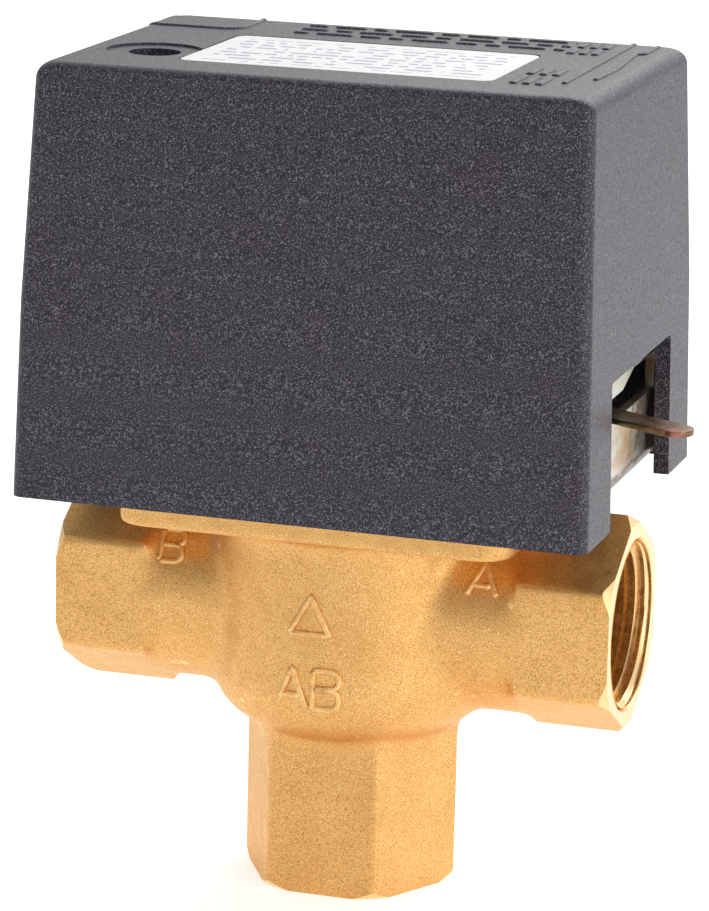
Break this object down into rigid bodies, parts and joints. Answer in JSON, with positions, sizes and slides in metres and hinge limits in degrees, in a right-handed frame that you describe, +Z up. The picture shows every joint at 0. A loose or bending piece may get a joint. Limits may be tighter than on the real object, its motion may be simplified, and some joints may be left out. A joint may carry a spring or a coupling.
{
  "type": "motorised three-port zone valve",
  "caption": "Brass three-port diverting zone valve with female threaded ports and a spring-return motor under a moulded cover, with a manual lever in a side slot.",
  "frame": {"origin": "centre of the end face of the bottom port (AB)", "axes": "+Z up along the AB port, +X towards port A along the side ports' common axis, +Y towards the back of the cover"},
  "size_m": [0.1021, 0.069, 0.1337],
  "materials": {
    "cast_brass": "sand-blasted casting, machined port ends",
    "turned_brass": "turned",
    "steel": "turned steel",
    "zinc_sheet": "yellow-passivated zinc plating",
    "zinc_screw": "zinc plated",
    "spring_steel": "oiled spring wire",
    "rubber": "moulded rubber",
    "gear_steel": "sintered steel",
    "gear_plastic": "moulded acetal",
    "motor_can": "drawn can",
    "switch_case": "moulded case",
    "plunger": "moulded button",
    "block_plastic": "moulded terminal block",
    "cover_plastic": "grained moulding, blue-black",
    "label": "printed film"
  },
  "bodies": {
    "base": {"valve_body": "cast_brass", "bonnet": "turned_brass", "bonnet_o_ring": "rubber", "base_plate": "zinc_sheet", "base_screws": "zinc_screw", "plate_pillars": "zinc_screw", "gear_plate": "zinc_sheet", "gear_plate_screws": "zinc_screw", "cover_pillar": "zinc_screw", "return_spring": "spring_steel", "spring_post": "steel", "reduction_axle": "steel", "motor_end_plate": "zinc_sheet", "motor_can": "motor_can", "motor_screws": "zinc_screw", "lever_pivot": "steel", "lever_clip": "spring_steel", "end_switch": "switch_case", "switch_screws": "zinc_screw", "terminal_block": "block_plastic", "terminal_screws": "zinc_screw"},
    "drive": {"spindle": "steel", "spindle_o_ring_lower": "rubber", "spindle_o_ring_upper": "rubber", "ball_arm": "turned_brass", "ball_pin": "steel", "valve_ball": "rubber", "sector_gear": "gear_steel", "lever_pin": "steel", "spindle_clip": "spring_steel"},
    "reduction": {"reduction_gear": "gear_plastic"},
    "motor_rotor": {"motor_pinion": "steel"},
    "lever": {"manual_lever": "zinc_sheet"},
    "leaf": {"switch_leaf": "spring_steel"},
    "plunger": {"switch_plunger": "plunger"},
    "cover": {"cover_shell": "cover_plastic", "cover_screw": "zinc_screw", "label": "label"}
  },
  "joints": [
    {"name": "spindle_turn", "type": "hinge", "parent": "base", "child": "drive", "pos_m": [0, 0.01, 0.072], "axis": [0, 0, 1], "range_deg": [-70, 0], "stiffness_Nm_per_rad": 0.02, "springref_deg": 20.05, "deforming": ["return_spring"]},
    {"name": "reduction_turn", "type": "hinge", "parent": "base", "child": "reduction", "pos_m": [-0.024, 0.01, 0.076], "axis": [0, 0, 1], "range_deg": [-0.5, 280.5]},
    {"name": "motor_turn", "type": "hinge", "parent": "base", "child": "motor_rotor", "pos_m": [-0.01345, -0.00507, 0.077], "axis": [0, 0, 1], "range_deg": [-1009, 0.5]},
    {"name": "lever_swing", "type": "hinge", "parent": "base", "child": "lever", "pos_m": [0.029, 0.0045, 0.08], "axis": [0, 0, 1], "range_deg": [0, 33.21]},
    {"name": "leaf_press", "type": "hinge", "parent": "base", "child": "leaf", "pos_m": [0.0072, -0.0196, 0.0735], "axis": [0, 0, 1], "range_deg": [0, 2.5], "stiffness_Nm_per_rad": 0.002, "springref_deg": -1.15},
    {"name": "plunger_press", "type": "slide", "parent": "base", "child": "plunger", "axis": [0, -1, 0], "range_m": [0, 0.0004]},
    {"name": "cover_lift", "type": "slide", "parent": "base", "child": "cover", "axis": [0, 0, 1], "range_m": [0, 0.075]}
  ],
  "couplings": [
    {"joint": "reduction_turn", "follows": "spindle_turn", "ratio": -4},
    {"joint": "motor_turn", "follows": "spindle_turn", "ratio": 14.4},
    {"joint": "lever_swing", "follows": "spindle_turn", "ratio": -0.473},
    {"joint": "plunger_press", "follows": "leaf_press", "m_per_rad": 0.0072}
  ]
}
